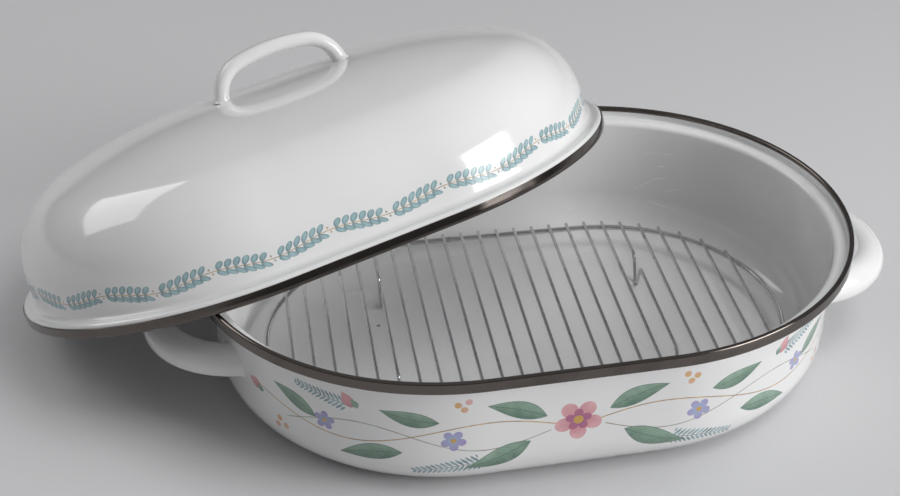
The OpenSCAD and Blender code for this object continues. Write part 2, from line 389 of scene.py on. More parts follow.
class Brush:
    """Draws simple printed shapes on a flat field that is measured in millimetres."""

    def __init__(self, nodes: Nodes, across: Scalar, up: Scalar) -> None:
        """Sets up the field.

        Args:
            nodes: the material's tree.
            across: place along the field.
            up: place up the field.
        """
        self.nodes = nodes
        self.across = across
        self.up = up

    def edge(self, depth: Scalar, softness: float = 0.28) -> Scalar:
        """Turns a depth inside a shape, in millimetres, into a mask."""
        return self.nodes.math("MULTIPLY_ADD", depth, 1.0 / softness, 0.5, clamp=True)

    def local(self, place: Pair, angle: float) -> tuple[Scalar, Scalar]:
        """Coordinates along and across a shape.

        Args:
            place: the shape's middle.
            angle: its direction, in degrees.

        Returns:
            The distance along it and the distance across it.
        """
        dx, dy = self.across - place[0], self.up - place[1]
        cos, sin = math.cos(math.radians(angle)), math.sin(math.radians(angle))
        return dx * cos + dy * sin, dy * cos - dx * sin

    def leaf(
        self, place: Pair, angle: float, length: float, width: float, bow: float = 0.0
    ) -> tuple[Scalar, Scalar, Scalar]:
        """A pointed leaf.

        Args:
            place: its middle.
            angle: its direction, in degrees.
            length: its length.
            width: its width.
            bow: how far its middle is bent aside.

        Returns:
            Its mask, the distance from its midrib, and the place along it from -1 to 1.
        """
        along, off = self.local(place, angle)
        part = along * (2.0 / length)
        belly = 1.0 - part * part
        off = off - belly * bow
        body = belly * (1.0 - part * 0.34) * (width / 2)
        span = self.edge(length / 2 - abs(along))
        return self.edge(body - abs(off)) * span, off, part

    def disc(self, place: Pair, radius: float) -> Scalar:
        """A round dot."""
        dx, dy = self.across - place[0], self.up - place[1]
        return self.edge(radius - (dx * dx + dy * dy) ** 0.5)

    def blossom(
        self, place: Pair, radius: float, petals: int, turn: float
    ) -> tuple[Scalar, Scalar]:
        """A flower seen from the front.

        Args:
            place: its middle.
            radius: the reach of its petals.
            petals: how many it has.
            turn: its turn, in degrees.

        Returns:
            The mask of its petals, and the distance from its middle over its reach.
        """
        dx, dy = self.across - place[0], self.up - place[1]
        reach = (dx * dx + dy * dy) ** 0.5
        angle = self.nodes.math("ARCTAN2", dy, dx) + math.radians(turn)
        lobe = abs(self.nodes.math("COSINE", angle * (petals / 2)))
        return self.edge((lobe ** 0.7 * 0.5 + 0.5) * radius - reach), reach / radius

    def stem(
        self, start: float, stop: float, height: float, swing: float, wave: float, width: float
    ) -> Scalar:
        """A waving stem.

        Args:
            start: where it begins along the field.
            stop: where it ends.
            height: its mean height.
            swing: how far it waves up and down.
            wave: the length of a wave.
            width: its thickness.

        Returns:
            Its mask.
        """
        line = self.nodes.math("SINE", (self.across - start) * (math.tau / wave)) * swing + height
        span = self.edge(self.across - start) * self.edge(stop - self.across)
        return self.edge(width / 2 - abs(self.up - line)) * span

    def frond(
        self, place: Pair, angle: float, length: float, reach: float, pitch: float
    ) -> tuple[Scalar, Scalar]:
        """A fern-like sprig of small paired leaflets.

        Args:
            place: its middle.
            angle: its direction, in degrees.
            length: its length.
            reach: how far a leaflet reaches aside.
            pitch: distance between leaflets.

        Returns:
            The mask of its leaflets and that of its midrib.
        """
        along, off = self.local(place, angle)
        aside = abs(off)
        taper = (0.5 - along * (0.62 / length)).clamped() * reach + reach * 0.35
        cell = self.nodes.math("FRACT", (along - aside * 0.8) * (1.0 / pitch)) - 0.5
        part = (aside / taper) * 2.0 - 1.0
        span = self.edge(length / 2 - abs(along))
        body = (1.0 - part * part) * (pitch * 0.36) - abs(cell) * pitch
        return self.edge(body) * span, self.edge(0.28 - aside) * span


class Layers:
    """Inks laid over a ground, one after another."""

    def __init__(self, nodes: Nodes, ground: Any, washes: Scalar) -> None:
        """Starts with the bare ground.

        Args:
            nodes: the material's tree.
            ground: the ground's colour.
            washes: noise that makes each ink uneven, as in hand-tinted work.
        """
        self.nodes = nodes
        self.colour = ground
        self.washes = washes
        self.printed: Any = 0.0

    def lay(self, mask: Scalar, dark: Any, light: Any, blend: Any = None) -> None:
        """Lays one ink.

        Args:
            mask: where it goes.
            dark: its colour at full strength.
            light: its colour where it is thin.
            blend: share of the thin colour, or None for the washes alone.
        """
        share = self.washes if blend is None else (blend * 0.7 + self.washes * 0.3).clamped()
        ink = self.nodes.mix(share, dark, light)
        self.colour = self.nodes.mix(mask * 0.93, self.colour, ink)
        self.printed = self.nodes.math("MAXIMUM", self.printed, mask)


@dataclass(frozen=True)
class FlowerSpray:
    """Printed spray round the pan's wall, mirrored about the middle of each long side."""

    girth: float  # length of the wall that the print runs round
    foot: float  # run along the section at which the wall begins
    # Place, direction, length, width and bow of each leaf
    leaves: tuple[tuple[float, float, float, float, float, float], ...] = (
        (36.0, 31.0, 20.0, 36.0, 11.0, 1.4),
        (47.0, 0.0, -22.0, 40.0, 12.0, -1.8),
        (98.0, 31.0, 12.0, 34.0, 9.5, -1.2),
        (122.0, 1.0, -10.0, 38.0, 10.5, 1.6),
        (171.0, 25.0, 24.0, 32.0, 9.0, 1.2),
    )
    # Place, reach, petals and turn of each small flower
    blooms: tuple[tuple[float, float, float, int, float], ...] = (
        (73.0, 14.0, 7.6, 5, 20.0),
        (150.0, 18.0, 6.8, 5, 50.0),
    )
    # Places of the gold berries
    berries: tuple[Pair, ...] = (
        (64.0, 42.0), (70.0, 40.0), (66.5, 36.5), (180.0, 0.5), (185.0, 4.5), (187.0, -1.0),
    )
    # Place and direction of each bud
    buds: tuple[Triple, ...] = ((205.0, 21.0, 16.0), (134.0, 38.0, 60.0))
    # Place, direction, length, reach and pitch of each sprig
    fronds: tuple[tuple[float, float, float, float, float], ...] = (
        (78.0, -7.0, -9.0, 40.0, 6.0, 3.2),
        (152.0, 37.0, 10.0, 34.0, 5.2, 2.9),
    )

    def paint(self, nodes: Nodes, run: Scalar, rise: Scalar, layers: Layers) -> None:
        """Lays the print.

        Args:
            nodes: the material's tree.
            run: millimetres round the plan.
            rise: millimetres along the section.
            layers: the inks.
        """
        half = self.girth / 2
        across = abs(nodes.math("WRAP", run, half / 2, -half / 2))
        brush = Brush(nodes, across, rise - self.foot)
        layers.lay(brush.stem(9.0, 203.0, 17.0, 8.0, 172.0, 0.75), Ink.STEM, Ink.GOLD)
        layers.lay(brush.stem(16.0, 178.0, 14.0, -9.0, 150.0, 0.65), Ink.STEM, Ink.LEAF_LIGHT)
        for x, y, angle, length, reach, pitch in self.fronds:
            leaflets, midrib = brush.frond((x, y), angle, length, reach, pitch)
            layers.lay(midrib, Ink.TEAL_DARK, Ink.TEAL_DARK)
            layers.lay(leaflets, Ink.TEAL_DARK, Ink.TEAL_LIGHT)
        for x, y, angle, length, width, bow in self.leaves:
            outline, _, _ = brush.leaf((x, y), angle, length + 1.4, width + 1.0, bow)
            layers.lay(outline, Ink.LEAF_DARK, Ink.LEAF_DARK)
            mask, off, part = brush.leaf((x, y), angle, length, width, bow)
            veins = abs(nodes.math("FRACT", (part * 5.0 - abs(off) * 0.42)) - 0.5)
            shade = (off * (1.1 / width) + 0.45).clamped() * 0.8 + veins * 0.4
            layers.lay(mask, Ink.LEAF_DARK, Ink.LEAF_LIGHT, shade)
            layers.lay(mask * brush.edge(0.22 - abs(off)), Ink.LEAF_DARK, Ink.LEAF_DARK)
        for x, y, reach, petals, turn in self.blooms:
            mask, part = brush.blossom((x, y), reach, petals, turn)
            layers.lay(mask, Ink.SKY, Ink.LILAC, part)
            layers.lay(brush.disc((x, y), reach * 0.22), Ink.GOLD, Ink.GOLD)
        for x, y, angle in self.buds:
            mask, off, part = brush.leaf((x, y), angle, 12.0, 7.5)
            layers.lay(mask, Ink.ROSE, Ink.BLUSH, (part * 0.5 + 0.5))
            calyx, _, _ = brush.leaf((x - 4.5, y - 2.0), angle, 7.0, 4.4)
            layers.lay(calyx, Ink.LEAF_DARK, Ink.LEAF_LIGHT)
        for place in self.berries:
            layers.lay(brush.disc(place, 2.1), Ink.GOLD, Ink.BLUSH)
        mask, part = brush.blossom((0.0, 19.0), 14.5, 5, 90.0)
        layers.lay(mask, Ink.ROSE, Ink.BLUSH, part)
        inner, part = brush.blossom((0.0, 19.0), 8.0, 5, -90.0)
        layers.lay(inner, Ink.VIOLET, Ink.ROSE, part)
        layers.lay(brush.disc((0.0, 19.0), 3.0), Ink.GOLD, Ink.GOLD)


@dataclass(frozen=True)
class LeafVine:
    """Printed garland round the lid: sprigs of paired leaves on one waving stem."""

    girth: float  # length of the line that the print runs round
    height: float  # run along the section of the garland's middle, counted from the crown
    waves: int = 15  # how many waves the stem makes on its way round, each with two sprigs
    start: float = 20.3  # shift of the first sprig along the run
    swing: float = 2.0  # how far the stem waves up and down
    first: float = 2.4  # place of a sprig's first pair of leaves
    pairs: int = 6  # how many pairs of leaves a sprig has
    pitch: float = 5.2  # distance between two pairs
    length: float = 6.5  # length of a leaf
    width: float = 4.3  # width of a leaf
    # Directions of the upper and the lower leaves from the stem, in degrees
    slants: Pair = (64.0, 46.0)

    def paint(self, nodes: Nodes, run: Scalar, rise: Scalar, layers: Layers) -> None:
        """Lays the print.

        Args:
            nodes: the material's tree.
            run: millimetres round the plan.
            rise: millimetres along the section, counted from the crown.
            layers: the inks.
        """
        sprig = self.girth / self.waves / 2
        place = nodes.math("WRAP", run + self.start, sprig, 0.0)
        line = nodes.math("COSINE", (run + self.start) * (math.pi / sprig)) * self.swing
        up = self.height - rise + line
        brush = Brush(nodes, place, up)
        layers.lay(brush.edge(0.24 - abs(up)), Ink.STEM, Ink.GOLD)
        span = (self.pairs - 1) * self.pitch
        for side, slant in zip((1.0, -1.0), self.slants):
            angle = math.radians(slant)
            high = up * side
            foot = place - self.first - high / math.tan(angle)
            cell = nodes.math("WRAP", foot, self.pitch / 2, -self.pitch / 2)
            middle = abs(foot - cell - span / 2) * (1.0 / span)
            along = high / (math.sin(angle) * self.length) * (middle * 0.32 + 0.94)
            body = (along ** 0.7) * ((1.0 - along) ** 0.5) * (self.width * 1.13)
            depth = body - abs(cell) * math.sin(angle) - 0.16
            mask = brush.edge(depth, 0.34) * nodes.math("LESS_THAN", middle, 0.55)
            blend = (depth.over(0.0, 1.5) * 0.85 + along * 0.45 - 0.12).clamped()
            layers.lay(mask, Ink.TEAL_DARK, Ink.TEAL_LIGHT, blend)
        for bud in ((sprig - 2.9, 1.7), (sprig - 1.2, -1.5)):
            layers.lay(brush.disc(bud, 0.62), Ink.TEAL_DARK, Ink.GOLD)


@dataclass(frozen=True)
class Enamel(Finish):
    """Glossy white vitreous enamel on pressed steel."""

    SCRATCHES = (
        ((114.5, 128.6, 32.7), (121.6, 125.4, 38.7), (127.8, 122.0, 43.1), (133.4, 118.5, 45.2)),
        ((128.7, 121.9, 53.8), (132.5, 119.6, 53.8)),
        ((133.8, 117.6, 34.0), (142.2, 111.7, 38.8)),
        ((124.5, 122.7, 24.7), (132.1, 117.3, 22.6), (140.7, 110.8, 21.9)),
        ((120.2, 127.3, 62.6), (137.0, 117.0, 64.5)),
    )  # wiped scratches on the far wall, painted lighter as painted sheen, in millimetres
    SPECK = (-89.7, 39.1, 1.6)  # a dark speck on the floor, in millimetres

    white: Colour = (0.815, 0.815, 0.815)  # the glaze's colour
    thin: Colour = (0.735, 0.735, 0.74)  # its colour where it is thin
    pinhole: Colour = (0.1, 0.09, 0.085)  # colour of a pinhole
    hairline: Colour = (0.44, 0.45, 0.46)  # colour of a hairline scratch
    scratch_sheen: Colour = (0.97, 0.97, 0.98)  # colour of a wiped scratch, lighter than the glaze: painted sheen where the scratch would catch the lamps
    speck: Colour = (0.16, 0.15, 0.15)  # colour of the speck on the floor
    art: FlowerSpray | LeafVine | None = None  # the fired print, or None
    used_inside: bool = False  # whether the inner faces carry the faint marks of use, the wiped scratches with painted sheen

    def shade(self, nodes: Nodes) -> bpy.types.Node:
        """Writes the shader.

        Args:
            nodes: the material's tree.

        Returns:
            The shader node.
        """
        where = nodes.place()
        clouds = nodes.noise(where, 14.0, 3.0)
        colour = nodes.mix(clouds.over(0.35, 0.75) * 0.4, self.white, self.thin)
        colour = self._pinholes(nodes, where, colour)
        smudges = nodes.noise(where, 22.0, 4.0, Roughness=0.62).over(0.46, 0.78)
        roughness = smudges * 0.07 + 0.1
        peel = nodes.noise(where, 150.0, 2.0) * 0.6 + nodes.noise(where, 46.0, 2.0) * 1.4
        if self.used_inside:
            rise = nodes.split(nodes.wrap(), 1) / METRE
            colour, roughness = self._marks(nodes, where, rise, colour, roughness)
        if self.art is not None:
            wrap = nodes.wrap()
            washes = nodes.noise(where, 130.0, 3.0).over(0.28, 0.72)
            layers = Layers(nodes, colour, washes)
            run, rise = (nodes.split(wrap, axis) / METRE for axis in (0, 1))
            self.art.paint(nodes, run, rise, layers)
            colour = layers.colour
            roughness = roughness + layers.printed * 0.05
        return nodes.surface(
            {
                "Base Color": colour,
                "Roughness": roughness,
                "IOR": 1.52,
                "Coat Weight": 0.35,
                "Coat Roughness": 0.03,
            },
            {"Strength": 0.35, "Distance": 0.00012, "Height": peel},
        )

    def _pinholes(self, nodes: Nodes, where: Scalar, colour: Scalar) -> Scalar:
        """Adds a few pinholes of the firing.

        Args:
            nodes: the material's tree.
            where: object coordinates.
            colour: the glaze's colour so far.

        Returns:
            The colour with the pinholes.
        """
        inputs = {"Vector": where, "Scale": 58.0}
        cells = nodes.node("ShaderNodeTexVoronoi", {"feature": "F1"}, inputs)
        chance = nodes.node("ShaderNodeSeparateColor", None, {0: cells.outputs["Color"]})
        rare = Scalar(nodes, chance.outputs[0]).over(0.955, 0.965)
        size = Scalar(nodes, chance.outputs[1]) * 0.014 + 0.012
        near = nodes.math("LESS_THAN", Scalar(nodes, cells.outputs["Distance"]), size)
        return nodes.mix(near * rare * 0.75, colour, self.pinhole)

    def _marks(
        self, nodes: Nodes, where: Scalar, rise: Scalar, colour: Scalar, roughness: Scalar
    ) -> tuple[Scalar, Scalar]:
        """Adds scratches, dull patches and a speck of use to the inner faces; the wiped scratches
        are painted lighter than the glaze, as painted sheen.

        Args:
            nodes: the material's tree.
            where: object coordinates.
            rise: millimetres along the section, with the inside's offset.
            colour: the glaze's colour so far.
            roughness: the glaze's roughness so far.

        Returns:
            The colour and the roughness with the marks.
        """
        inner = rise.over(INSIDE / METRE - 20.0, INSIDE / METRE - 10.0)
        drift = nodes.out("ShaderNodeTexNoise", None, {"Vector": where, "Scale": 9.0}, socket=1)
        bent = nodes.vector(
            "ADD",
            nodes.vector("MULTIPLY", where, (7.0, 2.1, 4.0)),
            nodes.vector("MULTIPLY", drift, (0.8, 0.8, 0.8)),
        )
        hair = nodes.out(
            "ShaderNodeTexVoronoi", {"feature": "DISTANCE_TO_EDGE"}, {"Vector": bent, "Scale": 5.5}
        )
        patches = nodes.noise(where, 16.0, 2.0).over(0.5, 0.68)
        worn = patches * inner
        scratch = (1.0 - hair.over(0.0, 0.012)) * worn
        colour = nodes.mix(scratch * 0.3, colour, self.hairline)
        place = nodes.vector("MULTIPLY", where, (1.0 / METRE,) * 3)
        for points in self.SCRATCHES:
            for start, stop in zip(points, points[1:]):
                line = self._apart(nodes, place, start, stop)
                mark = (1.0 - line.over(0.15, 0.75)) * (patches * 0.5 + 0.5)
                # painted sheen: the wiped scratches are real and rougher, and are also painted
                # lighter than the white glaze
                colour = nodes.mix(mark * 0.9, colour, self.scratch_sheen)
                roughness = roughness + mark * 0.35
        speck = 1.0 - nodes.vector("DISTANCE", place, self.SPECK, socket=1).over(1.1, 1.7)
        colour = nodes.mix(speck * 0.8, colour, self.speck)
        return colour, roughness + worn * 0.05 + scratch * 0.2

    @staticmethod
    def _apart(nodes: Nodes, place: Scalar, start: Triple, stop: Triple) -> Scalar:
        """Distance from a straight line between two points, in millimetres.

        Args:
            nodes: the material's tree.
            place: object coordinates in millimetres.
            start: one end of the line.
            stop: its other end.

        Returns:
            The distance.
        """
        way = Vector(stop) - Vector(start)
        away = nodes.vector("SUBTRACT", place, start)
        share = nodes.vector("DOT_PRODUCT", away, tuple(way / way.length_squared), socket=1)
        return nodes.vector(
            "DISTANCE", away, nodes.vector("MULTIPLY", tuple(way), share.clamped()), socket=1
        )


@dataclass(frozen=True)
class StripSteel(Finish):
    """Polished stainless strip, drawn lengthwise, its colours darkened as painted reflection of
    dark surroundings.
    """

    light: Colour = (0.172, 0.152, 0.14)  # its colour, darkened far below polished steel as painted reflection of dark surroundings
    dark: Colour = (0.07, 0.06, 0.054)  # its colour in the drawn lines, darker still: drawn grain and painted streaks of dark reflection
    seam: Colour = (0.06, 0.055, 0.05)  # colour of the seam where its two ends meet
    girth: float = 1150.0  # length of the strip round the plan, where its two ends meet
    seam_share: float = 0.09  # place of that seam, as a share of the girth

    def shade(self, nodes: Nodes) -> bpy.types.Node:
        """Writes the shader.

        Args:
            nodes: the material's tree.

        Returns:
            The shader node.
        """
        where, wrap = nodes.place(), nodes.wrap()
        lines = nodes.vector("MULTIPLY", wrap, (14.0, 5200.0, 1.0))
        waves = nodes.vector("MULTIPLY", wrap, (26.0, 420.0, 1.0))
        # drawn grain, strengthened into long painted streaks of reflection along the strip; it
        # also roughens and bumps the strip
        grain_and_painted_streaks = nodes.noise(lines, 1.0, 3.0, Roughness=0.7)
        tarnish = nodes.noise(where, 40.0, 4.0, Roughness=0.6).over(0.45, 0.72)
        # painted reflection: the polished strip is coloured dark, with darker painted streaks
        # along it, in place of the dark surroundings it would mirror
        colour = nodes.mix(grain_and_painted_streaks * 0.5 + tarnish * 0.3, self.light, self.dark)
        run = nodes.split(wrap, 0) / METRE
        seam = 1.0 - abs(run - self.girth * self.seam_share).over(0.1, 0.4)
        colour = nodes.mix(seam * 0.8, colour, self.seam)
        return nodes.surface(
            {
                "Base Color": colour,
                "Metallic": 1.0,
                "Roughness": grain_and_painted_streaks * 0.1 + tarnish * 0.1 + 0.07,
            },
            {
                "Strength": 0.4,
                "Distance": 0.0001,
                "Height": grain_and_painted_streaks * 0.25 + nodes.noise(waves, 1.0, 2.0) - seam * 3.0,
            },
        )


@dataclass(frozen=True)
class ChromedWire(Finish):
    """Bright chromed wire, dulled in spots."""

    bright: Colour = (0.62, 0.62, 0.62)  # the plating's colour
    dull: Colour = (0.34, 0.33, 0.315)  # its colour where it is dull

    def shade(self, nodes: Nodes) -> bpy.types.Node:
        """Writes the shader.

        Args:
            nodes: the material's tree.

        Returns:
            The shader node.
        """
        where = nodes.place()
        spots = nodes.noise(where, 120.0, 3.0, Roughness=0.6).over(0.5, 0.74)
        haze = nodes.noise(where, 24.0, 2.0).over(0.4, 0.7)
        colour = nodes.mix(spots * 0.6 + haze * 0.15, self.bright, self.dull)
        return nodes.surface(
            {
                "Base Color": colour,
                "Metallic": 1.0,
                "Roughness": spots * 0.2 + haze * 0.08 + 0.1,
            },
            {"Strength": 0.3, "Distance": 0.00008, "Height": nodes.noise(where, 420.0, 2.0)},
        )


@dataclass(frozen=True)
class PaleFloor(Finish):
    """Plain pale floor, which keeps the object's shadow."""

    tone: Colour = (0.62, 0.62, 0.63)  # its colour

    def shade(self, nodes: Nodes) -> bpy.types.Node:
        """Writes the shader.

        Args:
            nodes: the material's tree.

        Returns:
            The shader node.
        """
        return nodes.node(
            "ShaderNodeBsdfPrincipled", None, {"Base Color": _rgba(self.tone), "Roughness": 0.55}
        )


# ---------------------------------------------------------------- shapes


@dataclass(frozen=True)
class Move:
    """One piece of a run of sheet or bar."""

    size: float  # the length of a straight piece or the radius of a bend, in millimetres
    turn: float = 0.0  # the bend in degrees, to the left if positive, or 0 for a straight piece
    steps: int = 2  # how many faces it gets


@dataclass(frozen=True)
class RunPoint:
    """A point on the middle of a run."""

    x: float  # place along X
    z: float  # place along Z
    heading: float  # direction of the run, in radians
    run: float  # length of the run up to here

    def aside(self, offset: float) -> Pair:
        """The point that lies to the left by an offset."""
        return self.x - math.sin(self.heading) * offset, self.z + math.cos(self.heading) * offset


def trace(height: float, moves: Iterable[Move]) -> list[RunPoint]:
    """Follows a run that starts on the Z axis and level.

    Args:
        height: where it starts along Z.
        moves: its pieces in order.

    Returns:
        The points of its middle line.
    """
    points = [RunPoint(0.0, height, 0.0, 0.0)]
    for move in moves:
        turn = math.radians(move.turn) / move.steps
        chord = length = move.size / move.steps
        if move.turn:
            chord, length = 2 * move.size * math.sin(abs(turn) / 2), move.size * abs(turn)
        for _ in range(move.steps):
            last = points[-1]
            way = last.heading + turn / 2
            x, z = last.x + chord * math.cos(way), last.z + chord * math.sin(way)
            points.append(RunPoint(x, z, last.heading + turn, last.run + length))
    return points


@dataclass(frozen=True)
class SkinPoint:
    """A point of a closed section."""

    radius: float  # distance from the plan's spine, in millimetres
    height: float  # height, in millimetres
    run: float  # second coordinate of the UV map, in metres


def sheet_skin(points: Sequence[RunPoint], thickness: float, outer: int) -> list[SkinPoint]:
    """Outer face, rounded edge and inner face of a sheet.

    Args:
        points: the sheet's middle line, from the middle of the piece to its edge.
        thickness: the sheet's thickness.
        outer: 1 if the outer face is to the left of the run, else -1.

    Returns:
        The section from the middle of the outer face to the middle of the inner face.
    """
    half = thickness / 2
    skin = [SkinPoint(*p.aside(outer * half), p.run * METRE) for p in points]
    last = points[-1]
    for step in range(1, 6):
        angle = math.pi * step / 6
        x, z = last.aside(outer * half * math.cos(angle))
        x += math.cos(last.heading) * half * math.sin(angle)
        z += math.sin(last.heading) * half * math.sin(angle)
        skin.append(SkinPoint(x, z, last.run * METRE))
    back = reversed(points)
    return skin + [SkinPoint(*p.aside(-outer * half), p.run * METRE + INSIDE) for p in back]


@dataclass(frozen=True)
class OvalPlan:
    """Plan shared by the pan, the lid and the rack: two half circles joined by straights."""

    half_straight: float  # half the length of the straight sides, in millimetres
    arc_steps: int = 88  # faces round each half circle
    straight_steps: int = 7  # faces along half of a straight side

    def girth(self, radius: float) -> float:
        """Length of the line round the plan at a radius."""
        return 4 * self.half_straight + math.tau * radius

    def stations(self, radius: float) -> list[Triple]:
        """Places round the plan, from the middle of the back by way of the left end.

        Args:
            radius: radius of the line on which the run is measured.

        Returns:
            For each place the X of its arc's middle, its direction and its run.
        """
        half, places, run = self.half_straight, [], 0.0
        legs = (
            (0.0, -half, 90.0, 90.0, self.straight_steps),
            (-half, -half, 90.0, 270.0, self.arc_steps),
            (-half, half, 270.0, 270.0, 2 * self.straight_steps),
            (half, half, 270.0, 450.0, self.arc_steps),
            (half, 0.0, 90.0, 90.0, self.straight_steps),
        )
        for x0, x1, a0, a1, steps in legs:
            length = abs(x1 - x0) + math.radians(abs(a1 - a0)) * radius
            for step in range(steps):
                part = step / steps
                angle = math.radians(a0 + (a1 - a0) * part)
                places.append((x0 + (x1 - x0) * part, angle, run + length * part))
            run += length
        return places

    def sweep(self, name: str, skin: Sequence[SkinPoint], radius: float, closed: bool) -> Piece:
        """Sweeps a section round the plan.

        Args:
            name: the piece's name.
            skin: the section.
            radius: radius of the line on which the UV map is measured.
            closed: whether the section is a ring, or else starts and ends on the spine.

        Returns:
            The new object.
        """
        mesh = bmesh.new()
        wrap = mesh.loops.layers.uv.new(WRAP)
        stations = self.stations(radius)
        girth = self.girth(radius)
        rings = []
        for x, angle, _ in stations:
            cos, sin = math.cos(angle), math.sin(angle)
            ring = [(x + p.radius * cos, p.radius * sin, p.height) for p in skin]
            rings.append([mesh.verts.new(Vector(point) * METRE) for point in ring])
        count = len(skin)
        for i, (_, _, run) in enumerate(stations):
            j = (i + 1) % len(stations)
            ends = (run * METRE, (stations[j][2] if j else girth) * METRE)
            for a in range(count if closed else count - 1):
                b = (a + 1) % count
                corners = ((i, a, 0), (i, b, 0), (j, b, 1), (j, a, 1))
                face = mesh.faces.new([rings[s][k] for s, k, _ in corners])
                for loop, (_, k, side) in zip(face.loops, corners):
                    level = skin[k].run
                    if closed and k == 0 and a == count - 1:
                        level = skin[a].run + METRE
                    loop[wrap].uv = (ends[side], level)
        bmesh.ops.remove_doubles(mesh, verts=mesh.verts, dist=1e-6)
        return finish_mesh(name, mesh)


def add(name: str, data: bpy.types.ID) -> Piece:
    """Makes an object and links it to the scene.

    Args:
        name: the object's name.
        data: its mesh, lamp or camera.

    Returns:
        The new object.
    """
    made = bpy.data.objects.new(name, data)
    bpy.context.scene.collection.objects.link(made)
    return made


def finish_mesh(name: str, mesh: bmesh.types.BMesh) -> Piece:
    """Turns a working mesh into a smooth object whose faces point outwards.

    Args:
        name: the object's name.
        mesh: the working mesh, which is freed.

    Returns:
        The new object, linked to the scene.
    """
    bmesh.ops.recalc_face_normals(mesh, faces=mesh.faces)
    data = bpy.data.meshes.new(name)
    mesh.to_mesh(data)
    mesh.free()
    for face in data.polygons:
        face.use_smooth = True
    data.set_sharp_from_angle(angle=math.radians(SHARP))
    return add(name, data)


def grid_mesh(rings: Sequence[Sequence[Vector]]) -> bmesh.types.BMesh:
    """Joins rings of points into a tube with closed ends.

    Args:
        rings: rings of the same count of points, in metres.

    Returns:
        The working mesh.
    """
    mesh = bmesh.new()
    verts = [[mesh.verts.new(p) for p in ring] for ring in rings]
    count = len(rings[0])
    for first, second in zip(verts, verts[1:]):
        for a in range(count):
            b = (a + 1) % count
            mesh.faces.new((first[a], first[b], second[b], second[a]))
    for ring in (verts[0], verts[-1]):
        for a in range(count // 2 - 1):
            mesh.faces.new((ring[a], ring[a + 1], ring[count - 2 - a], ring[count - 1 - a]))
    return mesh


# ---------------------------------------------------------------- geometry trees


class GeometryTree:
    """A geometry node tree with named inputs."""

    KINDS = {float: "NodeSocketFloat", int: "NodeSocketInt"}

    def __init__(self, name: str, values: dict[str, float | int]) -> None:
        """Makes the tree and its inputs.

        Args:
            name: the tree's name.
            values: the named inputs and the values that they are set to.
        """
        self.values = values
        tree = bpy.data.node_groups.new(name, "GeometryNodeTree")
        self.tree = tree
        self.nodes = Nodes(tree)
        tree.interface.new_socket("Geometry", in_out="INPUT", socket_type="NodeSocketGeometry")
        self.identifiers = {
            key: tree.interface.new_socket(
                key, in_out="INPUT", socket_type=self.KINDS[type(value)]
            ).identifier
            for key, value in values.items()
        }
        self.material_id = tree.interface.new_socket(
            "Material", in_out="INPUT", socket_type="NodeSocketMaterial"
        ).identifier
        tree.interface.new_socket("Geometry", in_out="OUTPUT", socket_type="NodeSocketGeometry")
        self.source = self.nodes.node("NodeGroupInput")

    def value(self, name: str) -> Scalar:
        """One of the named inputs."""
        return Scalar(self.nodes, self.source.outputs[name])

    def wire(self, curve: Any, radius: Any, sides: int) -> Scalar:
        """Gives a curve a round section.

        Args:
            curve: the curve.
            radius: the wire's radius.
            sides: how many sides the section has.

        Returns:
            The wire's mesh.
        """
        size = {"Resolution": sides, "Radius": radius}
        ring = self.nodes.out("GeometryNodeCurvePrimitiveCircle", None, size)
        parts = {"Curve": curve, "Profile Curve": ring, "Fill Caps": True}
        return self.nodes.out("GeometryNodeCurveToMesh", None, parts)

    def close(self, geometry: Any) -> None:
        """Ends the tree in realized geometry with its material.

        Args:
            geometry: what the tree has made.
        """
        real = self.nodes.out("GeometryNodeRealizeInstances", None, {"Geometry": geometry})
        smooth = self.nodes.out("GeometryNodeSetShadeSmooth", None, {"Geometry": real})
        finish = {"Geometry": smooth, "Material": self.source.outputs["Material"]}
        dressed = self.nodes.out("GeometryNodeSetMaterial", None, finish)
        self.nodes.node("NodeGroupOutput", None, {0: dressed})

    def bake(self, name: str, finish: Finish, base: bpy.types.Mesh | None = None) -> Piece:
        """Runs the tree and keeps its result as a plain mesh.

        Args:
            name: the piece's name.
            finish: the finish that the tree sets.
            base: the mesh that the tree starts from, if it has one.

        Returns:
            The new object.
        """
        carrier = add(name + "_carrier", base or bpy.data.meshes.new(name))
        modifier = carrier.modifiers.new("rule", "NODES")
        modifier.node_group = self.tree
        for key, value in self.values.items():
            modifier[self.identifiers[key]] = value
        modifier[self.material_id] = finish.material()
        graph = bpy.context.evaluated_depsgraph_get()
        data = bpy.data.meshes.new_from_object(carrier.evaluated_get(graph))
        carrier.modifiers.remove(modifier)
        bpy.data.objects.remove(carrier)
        data.name = name
        data.set_sharp_from_angle(angle=math.radians(50.0))
        return add(name, data)


# ---------------------------------------------------------------- sub-assemblies


def present(piece: Piece, finish: Finish, *nodes: str) -> None:
    """Dresses a piece and ties it to the frame.

    Args:
        piece: the piece.
        finish: its finish.
        nodes: the nodes that it stands for, if any.
    """
    piece.data.materials.clear()
    piece.data.materials.append(finish.material())
    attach(piece, ROOT)
    if nodes:
        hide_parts(*nodes)
    piece.data.calc_loop_triangles()
    LOG.info("%s: %d triangles", piece.name, len(piece.data.loop_triangles))


